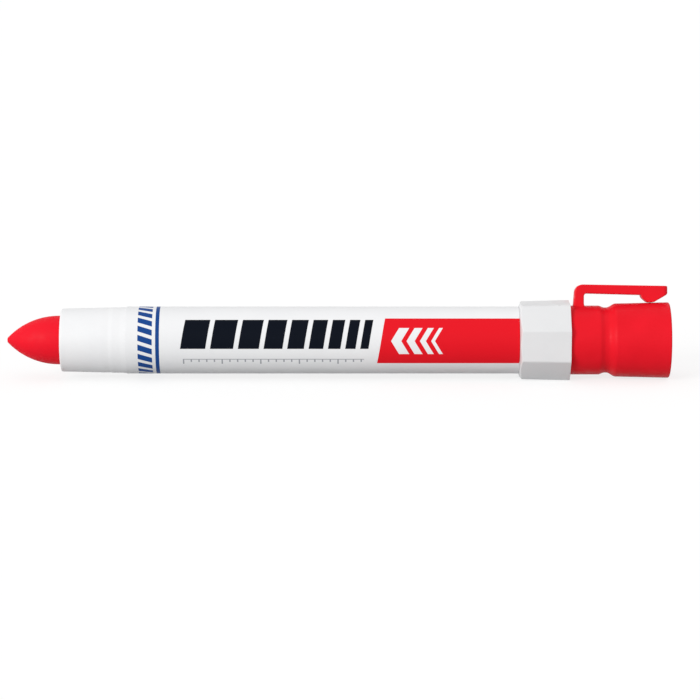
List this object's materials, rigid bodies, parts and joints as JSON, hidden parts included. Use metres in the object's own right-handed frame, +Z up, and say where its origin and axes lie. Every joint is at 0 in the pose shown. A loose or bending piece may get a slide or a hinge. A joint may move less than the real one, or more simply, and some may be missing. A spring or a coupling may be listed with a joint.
{
  "type": "paint stick",
  "caption": "Twist-up solid paint marker: round holder with a faceted twist knob, a screw-driven stick of paint, and a clip cap pushed into the back of the knob.",
  "frame": {"origin": "on the floor under the marker's axis, half-way along its length, where a flat of the knob rests at z = 0", "axes": "+X runs along the marker from the tip of the paint to the open end of the cap, +Z is up and the printed side of the label faces -Y"},
  "size_m": [0.1728, 0.0198, 0.0246],
  "materials": {
    "white_plastic": "satin moulded white",
    "label_film": "smooth printed film",
    "solid_paint": "waxy solid paint",
    "natural_plastic": "unpigmented moulded plastic",
    "screw_plastic": "unpigmented moulded plastic",
    "knob_plastic": "satin moulded white",
    "red_plastic": "semi-gloss moulded red",
    "clip_plastic": "semi-gloss moulded red"
  },
  "bodies": {
    "barrel": {"barrel": "white_plastic", "label": "label_film"},
    "carrier": {"carrier": "natural_plastic", "paint_stick": "solid_paint"},
    "knob": {"knob": "knob_plastic", "lead_screw": "screw_plastic"},
    "cap": {"cap": "red_plastic"},
    "clip": {"clip": "clip_plastic"}
  },
  "joints": [
    {"name": "knob_turn", "type": "hinge", "parent": "barrel", "child": "knob", "pos_m": [0.04712, 0, 0.00994], "axis": [1, 0, 0], "range_deg": [-1080, 2520]},
    {"name": "stick_advance", "type": "slide", "parent": "barrel", "child": "carrier", "axis": [-1, 0, 0], "range_m": [-0.01501, 0.03501]},
    {"name": "cap_pull", "type": "slide", "parent": "knob", "child": "cap", "axis": [1, 0, 0], "range_m": [0, 0.02]},
    {"name": "clip_flex", "type": "hinge", "parent": "cap", "child": "clip", "pos_m": [0.06275, 0.00164, 0.01879], "axis": [0, -0.9833, 0.1822], "range_deg": [0, 8], "stiffness_Nm_per_rad": 0.3}
  ],
  "couplings": [
    {"joint": "stick_advance", "follows": "knob_turn", "m_per_rad": 0.00079577}
  ]
}
